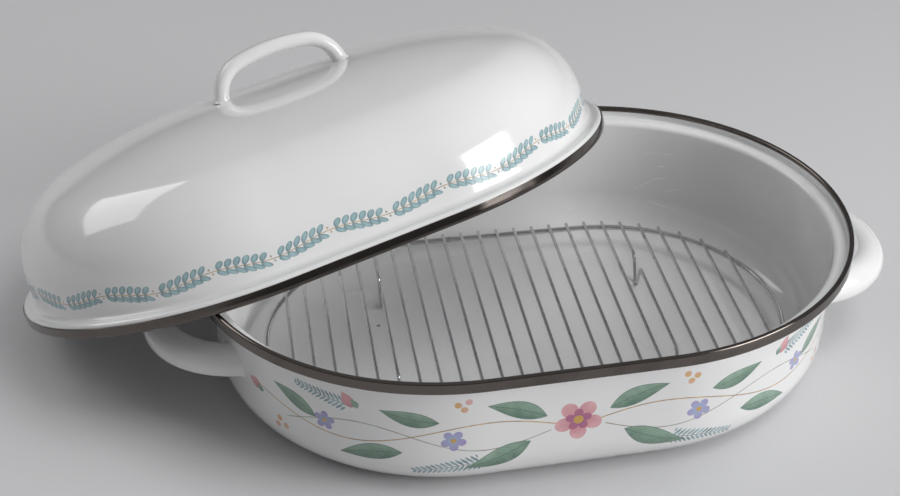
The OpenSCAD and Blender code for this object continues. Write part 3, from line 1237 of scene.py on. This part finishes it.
@dataclass(frozen=True)
class Trim:
    """Steel strip folded over a sheet's edge."""

    outer_leg: float  # height of the outer leg below the fold's middle
    inner_leg: float = 1.6  # height of the inner leg below the fold's middle
    bead: float = 1.6  # outer radius of the fold
    thickness: float = 0.7  # the strip's thickness
    nip: float = 0.18  # how much its cut edges are bevelled

    def skin(self, radius: float, height: float, flip: int) -> list[SkinPoint]:
        """The folded section.

        Args:
            radius: radius of the fold's middle.
            height: height of the fold's middle.
            flip: 1 if the legs hang down, -1 if they stand up.

        Returns:
            The section as a ring.
        """
        inner, nip = self.bead - self.thickness, self.nip
        path = [(self.bead, -self.outer_leg + nip)]
        path += [(self.bead, -self.outer_leg * part) for part in (0.66, 0.33)]
        for step in range(13):
            angle = math.pi * step / 12
            path.append((self.bead * math.cos(angle), self.bead * math.sin(angle)))
        path += [(-self.bead, -self.inner_leg + nip), (-self.bead + nip, -self.inner_leg)]
        path.append((-inner, -self.inner_leg))
        for step in range(9):
            angle = math.pi * (1 - step / 8)
            path.append((inner * math.cos(angle), inner * math.sin(angle)))
        path += [(inner, -self.outer_leg), (self.bead - nip, -self.outer_leg)]
        ring, run = [], 0.0
        for (x0, z0), (x1, z1) in zip(path, path[1:] + path[:1]):
            ring.append(SkinPoint(radius + x0, height + z0 * flip, run * METRE))
            run += math.hypot(x1 - x0, z1 - z0)
        return ring

    def strip(self, name: str, plan: OvalPlan, radius: float, top: float, flip: int) -> Piece:
        """The strip round a plan.

        Args:
            name: the piece's name.
            plan: the oval.
            radius: radius of the plan over the strip.
            top: height of the fold's outer face.
            flip: 1 if the legs hang down, -1 if they stand up.

        Returns:
            The new object.
        """
        skin = self.skin(radius - self.bead, top - self.bead * flip, flip)
        return plan.sweep(name, skin, radius, closed=True)


@dataclass
class Pan:
    """Oval pan with its steel trim and its two curled handles."""

    plan: OvalPlan  # the oval
    rim_radius: float = 156.5  # radius of the plan over the trim
    height: float = 92.0  # height over the trim
    sheet: float = 1.6  # thickness of the sheet
    floor_edge: float = 113.851  # distance from the spine to the bend of the floor
    floor_bend: float = 29.2  # radius of that bend, in the middle of the sheet
    wall_length: float = 52.2543  # length of the straight wall
    wall_radius: float = 142.566  # radius of the wall's outer face at its foot
    wall_lean: float = 2.5  # lean of the wall, in degrees
    ledge: Pair = (3.0, 4.6)  # radius of the bend at the ledge, and the ledge's width
    upright: Pair = (2.0, 4.6)  # radius of the bend at the upright rim, and the rim's height
    print_inset: float = 12.0  # distance from the rim to the line on which the print is measured
    trim: Trim = field(default_factory=lambda: Trim(outer_leg=5.8))  # the steel strip
    grip_outer: float = 243.0  # reach of the handles from the pan's middle
    grip_plan: float = 61.0  # radius of a handle's outer edge in plan
    grip_curl: float = 11.0  # radius of its curl
    grip_sheet: float = 2.2  # thickness of its strap
    grip_sunk: float = 0.5  # how deep it reaches into the wall
    grip_height: float = 50.0  # height of the middle of its curl
    grip_upper: float = 120.0  # how far it curls up, in degrees above the level
    grip_lower: float = 20.0  # how far it curls down, in degrees below the level
    weld: Pair = (1.5, 2.2)  # height of the weld round its foot, and how fast it runs out

    @property
    def moves(self) -> tuple[Move, ...]:
        """The run of the sheet from the spine over the wall and the ledge to the edge.

        Returns:
            Its moves, in order.
        """
        rise = 90.0 - self.wall_lean
        return (
            Move(self.floor_edge, 0.0, 6),
            Move(self.floor_bend, rise, 22),
            Move(self.wall_length, 0.0, 5),
            Move(self.ledge[0], -rise, 9),
            Move(self.ledge[1], 0.0, 2),
            Move(self.upright[0], 90.0, 9),
            Move(self.upright[1], 0.0, 2),
        )

    def build(self) -> None:
        """Builds and dresses all the pan's pieces."""
        line = self.rim_radius - self.print_inset
        foot = self.floor_edge + math.radians(90.0 - self.wall_lean) * self.floor_bend
        spray = FlowerSpray(girth=self.plan.girth(line), foot=foot)
        glaze = Enamel("pan_enamel", art=spray, used_inside=True)
        skin = sheet_skin(trace(self.sheet / 2, self.moves), self.sheet, outer=-1)
        body = self.plan.sweep("pan_shell", skin, line, closed=False)
        present(body, glaze, "pan_body")
        steel = StripSteel("pan_trim_steel", girth=self.plan.girth(self.rim_radius))
        rim = self.trim.strip("pan_trim", self.plan, self.rim_radius, self.height, flip=1)
        present(rim, steel, "pan_rim_trim")
        grip = Enamel("pan_handle_enamel")
        for end in End:
            node = "pan_handle_" + end.name.lower()
            present(self._handle(end, node + "_curled"), grip, node)

    def _grip_section(self) -> list[Triple]:
        """The curled strap's section.

        Returns:
            For each point its direction from the curl's middle in radians, its distance from
            there, and which face it lies on.
        """
        half, middle, steps = self.grip_sheet / 2, self.grip_curl - self.grip_sheet / 2, 26
        low, span = -self.grip_lower, self.grip_lower + self.grip_upper
        angles = [math.radians(low + span * step / steps) for step in range(steps + 1)]
        face, reach = 0.7, 0.9  # of the rounded edge: half its flat, and how far it stands out
        nose = math.asin(half / middle) * reach * face
        outer = [(angle, middle + half, 1.0) for angle in angles]
        inner = [(angle, middle - half, -1.0) for angle in reversed(angles)]
        top = [(angles[-1] + nose, middle + half * part, part) for part in (face, -face)]
        toe = [(angles[0] - nose, middle + half * part, part) for part in (-face, face)]
        return outer + top + inner + toe

    def _wall_angle(self, reach: float, height: float) -> float:
        """Angle in plan at which a point of the strap meets the wall.

        Args:
            reach: distance of the point from the strap's own middle in plan.
            height: its height.

        Returns:
            The angle, in radians.
        """
        wall = self.wall_radius + height * math.tan(math.radians(self.wall_lean)) - self.grip_sunk
        apart = self.grip_outer - self.grip_plan - self.plan.half_straight
        return math.acos((wall ** 2 - apart ** 2 - reach ** 2) / (2 * apart * reach))

    def _handle(self, end: End, name: str) -> Piece:
        """One curled handle.

        Args:
            end: the end of the pan that it stands on.
            name: the piece's name.

        Returns:
            The new object.
        """
        centre, middle = self.grip_outer - self.grip_plan, self.grip_plan - self.grip_curl
        steps, rings = 72, []
        for step in range(steps + 1):
            share = -math.cos(math.pi * step / steps)
            ring = []
            for angle, radius, face in self._grip_section():
                out, up = math.cos(angle), math.sin(angle)
                reach, height = middle + radius * out, self.grip_height + radius * up
                limit = self._wall_angle(reach, height)
                gap = (1 - abs(share)) * limit * reach
                flare = self.weld[0] * math.exp(-gap / self.weld[1]) * face
                away = reach + out * flare
                x = end.value * (centre + away * math.cos(share * limit))
                y = away * math.sin(share * limit)
                ring.append(Vector((x, y, height + up * flare)) * METRE)
            rings.append(ring)
        return finish_mesh(name, grid_mesh(rings))


@dataclass
class Lid:
    """Domed lid with its steel trim and its arched handle, leaning on the pan."""

    plan: OvalPlan  # the oval
    trim_radius: float = 152.0  # radius of the plan over the trim
    height: float = 92.6  # height of the crown above the bottom of the trim
    sheet: float = 1.6  # thickness of the sheet
    side: float = 142.0  # distance from the spine to the middle of the dome's upright side
    crown_radius: float = 340.0  # outer radius of the crown across the lid
    shoulder_radius: float = 53.5  # outer radius of the shoulder
    flange_height: float = 8.2  # height of the middle of the flange's sheet
    fillet: float = 4.5  # radius of the hollow bend above the flange
    flange: float = 1.9  # width of the flat flange
    edge: Pair = (2.0, 4.6)  # radius of the bend at the turned-down edge, and the edge's height
    vine_height: float = 21.3  # height of the middle of the printed garland
    trim: Trim = field(default_factory=lambda: Trim(outer_leg=5.0))  # the steel strip
    tilt: float = 21.3  # tilt in degrees
    downhill: float = 128.5  # direction in which it runs down
    heading: float = 10.5  # direction of its long axis
    origin: Triple = (-120.058, 94.21, 63.866)  # where the middle of its trim's plane lies
    bar_span: float = 84.2  # distance between the middles of the handle's feet
    bar_bow: float = 12.0  # turn of each half of the handle's bowed top, in degrees
    bar_corner: float = 23.0  # radius of its upper corners
    bar_lean: float = 15.0  # lean of its legs, in degrees
    bar_height: float = 23.2  # height of its middle line above the crown
    bar_width: float = 15.0  # width of the bar across the lid
    bar_thickness: float = 9.6  # thickness of the bar
    bar_shift: float = 4.4  # shift of the handle along the lid
    bar_sunk: float = 0.6  # how deep its legs reach below the crown's height
    weld: Pair = (1.3, 1.6)  # height of the weld round its feet, and how fast it runs out

    @property
    def moves(self) -> tuple[Move, ...]:
        """The run of the sheet from the crown over the shoulder and the flange to the edge.

        Returns:
            Its moves, in order.
        """
        crown, shoulder = self.crown_radius - self.sheet / 2, self.shoulder_radius - self.sheet / 2
        turn = math.asin((self.side - shoulder) / (crown - shoulder))
        drop = crown * (1 - math.cos(turn)) + shoulder * math.cos(turn) + self.sheet / 2
        bend = math.degrees(turn)
        return (
            Move(crown, -bend, 22),
            Move(shoulder, bend - 90.0, 26),
            Move(self.height - drop - self.flange_height - self.fillet, 0.0, 3),
            Move(self.fillet, 90.0, 9),
            Move(self.flange, 0.0, 1),
            Move(self.edge[0], -90.0, 8),
            Move(self.edge[1], 0.0, 2),
        )

    @property
    def pose(self) -> Matrix:
        """Where the lid lies.

        Returns:
            The turn and shift from the level lid to the one that leans.
        """
        turn = Matrix.Rotation(math.radians(self.downhill), 4, "Z")
        tilt = Matrix.Rotation(math.radians(self.tilt), 4, "Y")
        head = Matrix.Rotation(math.radians(self.heading - self.downhill), 4, "Z")
        return Matrix.Translation(Vector(self.origin) * METRE) @ turn @ tilt @ head

    def build(self) -> None:
        """Builds and dresses all the lid's pieces."""
        side = self.side + self.sheet / 2
        run = trace(self.height - self.sheet / 2, self.moves)
        foot = next(p for p in run if p.z < self.flange_height + self.fillet + NEAR)
        vine = LeafVine(self.plan.girth(side), foot.run - (self.vine_height - foot.z))
        glaze = Enamel("lid_enamel", art=vine)
        skin = sheet_skin(run, self.sheet, outer=1)
        shell = self.plan.sweep("lid_dome", skin, side, closed=False)
        steel = StripSteel("lid_trim_steel", girth=self.plan.girth(self.trim_radius))
        rim = self.trim.strip("lid_trim", self.plan, self.trim_radius, 0.0, flip=-1)
        grip = Enamel("lid_handle_enamel")
        for piece, finish, node in (
            (shell, glaze, "lid_shell"),
            (rim, steel, "lid_rim_trim"),
            (self._handle(), grip, "lid_handle"),
        ):
            piece.data.transform(self.pose)
            present(piece, finish, node)

    def _handle(self) -> Piece:
        """The arched bar, drawn level.

        Returns:
            The new object.
        """
        bow, lean = math.radians(self.bar_bow), math.radians(self.bar_lean)
        corner_x = self.bar_corner * (math.cos(lean) - math.sin(bow))
        corner_z = self.bar_corner * (math.cos(bow) - math.sin(lean))
        side = self.bar_span / 2 - corner_x - math.tan(lean) * (self.bar_height - corner_z)
        radius = side / (math.sin(bow) - math.tan(lean) * (1 - math.cos(bow)))
        drop = self.bar_height - radius * (1 - math.cos(bow))
        leg = (drop - corner_z) / math.cos(lean) + self.bar_sunk
        half = trace(
            self.height + self.bar_height,
            (
                Move(radius, -self.bar_bow, 8),
                Move(self.bar_corner, self.bar_lean + self.bar_bow - 90.0, 20),
                Move(leg, 0.0, 14),
            ),
        )
        whole = half[-1].run
        path = [(-p.x, p.z, -p.heading, whole - p.run) for p in reversed(half[1:])]
        path += [(p.x, p.z, p.heading, whole - p.run) for p in half]
        rings = []
        for middle, z, heading, left in path:
            x, flare = middle + self.bar_shift, self.weld[0] * math.exp(-left / self.weld[1])
            ring = [
                (x - math.sin(heading) * off, aside, z + math.cos(heading) * off)
                for off, aside in self._bar_section(flare)
            ]
            rings.append([Vector(point) * METRE for point in ring])
        return finish_mesh("lid_handle_arch", grid_mesh(rings))

    def _bar_section(self, flare: float) -> list[Pair]:
        """The bar's rounded section.

        Args:
            flare: how much it is widened all round.

        Returns:
            Its points: through the bar and across the lid.
        """
        radius = self.bar_thickness / 2
        flat, reach = self.bar_width / 2 - radius, radius + flare
        angles = [math.pi * step / 12 for step in range(13)]
        return [
            (side * reach * math.cos(angle), side * (flat + reach * math.sin(angle)))
            for side in (1, -1)
            for angle in angles
        ]


@dataclass
class Rack:
    """Wire rack that stands in the pan."""

    rim_radius: float = 111.7  # radius of the plan at the middle of the rim wire
    half_straight: float = 58.0  # half the length of its straight sides
    rim_wire: float = 3.6  # thickness of the rim wire
    cross_wire: float = 2.3  # thickness of a cross wire
    pitch: float = 12.8  # distance between cross wires
    count: int = 25  # how many cross wires there are
    overrun: float = 2.4  # how far a cross wire runs past the rim wire's middle
    cross_height: float = 19.75  # height of the middle of the cross wires
    rim_height: float = 17.1  # height of the middle of the rim wire
    foot_step: int = 7  # wires between the middle one and one that has feet
    foot_offset: float = 57.0  # distance from a wire's middle to its foot
    foot_half: float = 12.2241  # half the width of a foot
    foot_leg: float = 12.8312  # length of a leg of the foot
    foot_bend: float = 4.0  # radius of the foot's bends
    foot_splay: float = 22.0  # lean of its legs, in degrees
    turn: float = -2.5  # turn of the rack in the pan, in degrees
    shift: float = 2.5  # shift of the rack along the pan
    weld_radius: float = 1.0  # radius of a pool of weld metal, before it is flattened

    @property
    def pose(self) -> Matrix:
        """Where the rack stands.

        Returns:
            The turn and shift.
        """
        turn = Matrix.Rotation(math.radians(self.turn), 4, "Z")
        return Matrix.Translation((self.shift * METRE, 0, 0)) @ turn

    def reach(self, x: float) -> float:
        """Distance of the rim wire's middle from the long axis.

        Args:
            x: place along the rack.

        Returns:
            The distance.
        """
        return math.sqrt(self.rim_radius ** 2 - max(abs(x) - self.half_straight, 0.0) ** 2)

    def build(self) -> None:
        """Builds and dresses all the rack's pieces."""
        rim = ChromedWire("rack_rim_chrome")
        wire = ChromedWire("rack_wire_chrome")
        middle = (self.count + 1) // 2
        feet = (middle - self.foot_step, middle + self.foot_step)
        straight = [f"rack_wire_{i:02d}" for i in range(1, self.count + 1) if i not in feet]
        footed = [f"rack_wire_{i:02d}" for i in feet]
        for piece, finish, nodes in (
            (self._rim(rim), rim, ["rack_rim"]),
            (self._cross_wires(wire), wire, straight),
            (self._footed_wires(wire, feet, middle), wire, footed),
            (self._welds(wire), wire, []),
        ):
            piece.data.transform(self.pose)
            present(piece, finish, *nodes)

    def _rim(self, finish: Finish) -> Piece:
        """The closed rim wire.

        Args:
            finish: its finish.

        Returns:
            The new object.
        """
        plan = OvalPlan(self.half_straight, arc_steps=72, straight_steps=6)
        path, radius = bpy.data.meshes.new("rack_rim_path"), self.rim_radius
        points = [
            Vector((x + radius * math.cos(a), radius * math.sin(a), self.rim_height)) * METRE
            for x, a, _ in plan.stations(radius)
        ]
        count = len(points)
        path.from_pydata(points, [(i, (i + 1) % count) for i in range(count)], [])
        return self._bend("rack_rim_ring", path, self.rim_wire / 2, 20, finish)

    def _footed_wires(self, finish: Finish, feet: tuple[int, int], middle: int) -> Piece:
        """The two wires that dip to the floor.

        Args:
            finish: their finish.
            feet: the numbers of the two wires.
            middle: the number of the middle wire.

        Returns:
            The new object.
        """
        points, edges = [], []
        for number in feet:
            x = (number - middle) * self.pitch
            end = self.reach(x) + self.overrun
            half = trace(
                self.cross_height,
                (
                    Move(self.foot_offset - self.foot_half, 0.0, 2),
                    Move(self.foot_bend, self.foot_splay - 90, 8),
                    Move(self.foot_leg, 0.0, 2),
                    Move(self.foot_bend, 180 - 2 * self.foot_splay, 14),
                    Move(self.foot_leg, 0.0, 2),
                    Move(self.foot_bend, self.foot_splay - 90, 8),
                    Move(end - self.foot_offset - self.foot_half, 0.0, 2),
                ),
            )
            line = [(-p.x, p.z) for p in reversed(half[1:])] + [(p.x, p.z) for p in half]
            first = len(points)
            points += [Vector((x, y, z)) * METRE for y, z in line]
            edges += [(first + i, first + i + 1) for i in range(len(line) - 1)]
        path = bpy.data.meshes.new("rack_feet_path")
        path.from_pydata(points, edges, [])
        return self._bend("rack_footed_wires", path, self.cross_wire / 2, 16, finish)

    def _bend(
        self, name: str, path: bpy.types.Mesh, radius: float, sides: int, finish: Finish
    ) -> Piece:
        """Bends wire along a path.

        Args:
            name: the piece's name.
            path: a mesh of edges.
            radius: the wire's radius.
            sides: sides of its section.
            finish: its finish.

        Returns:
            The new object.
        """
        tree = GeometryTree(name + "_rule", {"Wire Radius": radius * METRE})
        mesh = {"Mesh": tree.source.outputs["Geometry"]}
        line = tree.nodes.out("GeometryNodeMeshToCurve", None, mesh)
        tree.close(tree.wire(line, tree.value("Wire Radius"), sides))
        return tree.bake(name, finish, path)

    def _row(self, tree: GeometryTree) -> tuple[Scalar, Scalar]:
        """A row of points, one for each cross wire.

        Args:
            tree: the tree to write in.

        Returns:
            The row and, at each of its points, the rim wire's distance from the long axis.
        """
        nodes = tree.nodes
        count, pitch = tree.value("Count"), tree.value("Pitch")
        start = (count - 1.0) * pitch * -0.5
        line = {
            "Count": count,
            "Start Location": nodes.join(start, 0.0, tree.value("Height")),
            "Offset": nodes.join(pitch),
        }
        row = nodes.out("GeometryNodeMeshLine", {"mode": "OFFSET"}, line)
        place = nodes.out("GeometryNodeInputPosition")
        past = nodes.math("MAXIMUM", abs(nodes.split(place, 0)) - tree.value("Half Straight"), 0.0)
        radius = tree.value("Rim Radius")
        return row, (radius * radius - past * past) ** 0.5

    def _sizes(self, height: float) -> dict[str, float | int]:
        """Named inputs of the trees that follow the row of wires.

        Args:
            height: height of the row.

        Returns:
            Their values, in metres.
        """
        return {
            "Count": self.count,
            "Pitch": self.pitch * METRE,
            "Height": height * METRE,
            "Half Straight": self.half_straight * METRE,
            "Rim Radius": self.rim_radius * METRE,
        }

    def _cross_wires(self, finish: Finish) -> Piece:
        """All the straight cross wires.

        Args:
            finish: their finish.

        Returns:
            The new object.
        """
        sizes = self._sizes(self.cross_height)
        sizes |= {
            "Overrun": self.overrun * METRE,
            "Wire Radius": self.cross_wire / 2 * METRE,
            "Foot Step": self.foot_step,
        }
        tree = GeometryTree("rack_cross_wires_rule", sizes)
        nodes = tree.nodes
        row, reach = self._row(tree)
        index = nodes.out("GeometryNodeInputIndex")
        from_middle = abs(index - (tree.value("Count") - 1.0) * 0.5)
        plain = nodes.math("GREATER_THAN", abs(from_middle - tree.value("Foot Step")), 0.5)
        ends = {"Start": (0, -1, 0), "End": (0, 1, 0)}
        rod = nodes.out("GeometryNodeCurvePrimitiveLine", None, ends)
        size = nodes.join(1.0, reach + tree.value("Overrun"), 1.0)
        places = {"Points": row, "Selection": plain, "Instance": rod, "Scale": size}
        rods = nodes.out("GeometryNodeInstanceOnPoints", None, places)
        real = nodes.out("GeometryNodeRealizeInstances", None, {"Geometry": rods})
        tree.close(tree.wire(real, tree.value("Wire Radius"), 16))
        return tree.bake("rack_cross_wires", finish)

    def _welds(self, finish: Finish) -> Piece:
        """A small pool of weld metal at each crossing of a cross wire and the rim wire.

        Args:
            finish: its finish.

        Returns:
            The new object.
        """
        sizes = self._sizes(self.cross_height - self.cross_wire / 2 + 0.05)
        sizes["Bead Radius"] = self.weld_radius * METRE
        tree = GeometryTree("rack_welds_rule", sizes)
        nodes = tree.nodes
        ball = {"Radius": tree.value("Bead Radius"), "Subdivisions": 2}
        bead = nodes.out("GeometryNodeMeshIcoSphere", None, ball)
        joined = nodes.node("GeometryNodeJoinGeometry")
        for side in (-1.0, 1.0):
            row, reach = self._row(tree)
            shift = {"Geometry": row, "Offset": nodes.join(0.0, reach * side)}
            moved = nodes.out("GeometryNodeSetPosition", None, shift)
            pools = {"Points": moved, "Instance": bead, "Scale": (1.75, 1.5, 0.75)}
            spots = nodes.out("GeometryNodeInstanceOnPoints", None, pools)
            nodes.tree.links.new(spots.socket, joined.inputs[0])
        tree.close(joined.outputs[0])
        return tree.bake("rack_weld_spots", finish)


# ---------------------------------------------------------------- studio


@dataclass(frozen=True)
class PhotoView:
    """The photograph's viewpoint, fitted to the pan's rim and base."""

    azimuth: float = -10.383  # direction in degrees, 0 looking along +Y
    elevation: float = 31.9668  # degrees above the floor
    roll: float = -0.9267  # turn about the line of sight, in degrees
    distance: float = 5.1609  # distance in units of half the pan's length
    slide: Pair = (0.2248, -0.3048)  # sideways and upward slide in the same unit
    unit: float = 0.21  # that unit, in metres
    focal: float = 1633.0  # focal length in pixels of an image 900 wide
    image_width: int = 900  # width of that image

    def build(self) -> None:
        """Sets up the scene's camera."""
        az, el, roll = (math.radians(a) for a in (self.azimuth, self.elevation, self.roll))
        back = Vector((math.sin(az) * math.cos(el), -math.cos(az) * math.cos(el), math.sin(el)))
        side = Vector((math.cos(az), math.sin(az), 0.0))
        up = back.cross(side)
        right = side * math.cos(roll) + up * math.sin(roll)
        up = up * math.cos(roll) - side * math.sin(roll)
        place = (back * self.distance - right * self.slide[0] - up * self.slide[1]) * self.unit
        data = bpy.data.cameras.new("photo_view")
        data.sensor_width = 36.0
        data.lens = self.focal * data.sensor_width / self.image_width
        camera = add("photo_view", data)
        rows = zip(right, up, back, place)
        camera.matrix_world = Matrix([*(tuple(row) for row in rows), (0.0, 0.0, 0.0, 1.0)])
        bpy.context.scene.camera = camera


@dataclass(frozen=True)
class Softbox:
    """A square soft lamp."""

    name: str  # the lamp's name
    place: Triple  # where it hangs, in metres
    aim: Triple  # the point that it faces
    size: Pair  # its width and height
    power: float  # its power, in watts
    mirrored: bool = True  # whether glossy surfaces mirror it

    def build(self) -> None:
        """Hangs the lamp."""
        data = bpy.data.lights.new(self.name, "AREA")
        data.shape = "RECTANGLE"
        data.size, data.size_y = self.size
        data.energy = self.power
        lamp = add(self.name, data)
        lamp.visible_glossy = self.mirrored
        way = Vector(self.aim) - Vector(self.place)
        turn = way.to_track_quat("-Z", "Y").to_matrix().to_4x4()
        lamp.matrix_world = Matrix.Translation(self.place) @ turn


@dataclass
class Studio:
    """Pale floor, soft lamps and an even surround."""

    view: PhotoView = field(default_factory=PhotoView)  # the camera
    # The soft lamps
    lamps: tuple[Softbox, ...] = (
        Softbox("right_softbox", (1.6, -1.2, 0.84), (0.0, 0.0, 0.14), (1.15, 1.0), 29.0),
        Softbox("back_softbox", (-1.59, 1.14, 1.25), (-0.22, 0.0, 0.14), (1.5, 0.95), 11.0),
        Softbox("top_fill", (0.9, -0.5, 2.0), (0.0, 0.0, 0.0), (1.2, 1.2), 17.0, mirrored=False),
    )
    surround: float = 0.36  # strength of the even light from all round

    def build(self) -> None:
        """Sets up camera, lamps, surround and floor."""
        self.view.build()
        for lamp in self.lamps:
            lamp.build()
        world = bpy.data.worlds.new("surround")
        bpy.context.scene.world = world
        world.use_nodes = True
        nodes = Nodes(world.node_tree)
        stops = ((0.0, (0.2, 0.2, 0.2)), (0.3, (0.5, 0.5, 0.51)), (1.0, (0.95, 0.95, 0.96)))
        rise = nodes.split(nodes.out("ShaderNodeTexCoord", None, None, socket="Generated"), 2)
        glow = nodes.out("ShaderNodeValToRGB", {"stops": stops}, {"Fac": rise})
        sky = nodes.node("ShaderNodeBackground", None, {"Color": glow, "Strength": self.surround})
        nodes.node("ShaderNodeOutputWorld", None, {"Surface": sky.outputs[0]})
        self._floor()
        bpy.context.scene.view_settings.view_transform = "Standard"

    def _floor(self) -> None:
        """Lays the floor just under the pan's base."""
        mesh = bmesh.new()
        bmesh.ops.create_grid(mesh, x_segments=2, y_segments=2, size=4.0)
        floor = finish_mesh("pale_floor", mesh)
        floor.data.transform(Matrix.Translation((0.0, 0.0, -0.0002)))
        floor.data.materials.append(PaleFloor("pale_floor").material())


def main() -> None:
    """Builds the scene on the frame."""
    logging.basicConfig(level=logging.INFO, format="%(name)s %(message)s")
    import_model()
    plan = OvalPlan(half_straight=53.5)
    Studio().build()
    Pan(plan).build()
    Lid(plan).build()
    Rack().build()


if __name__ == "__main__":
    main()
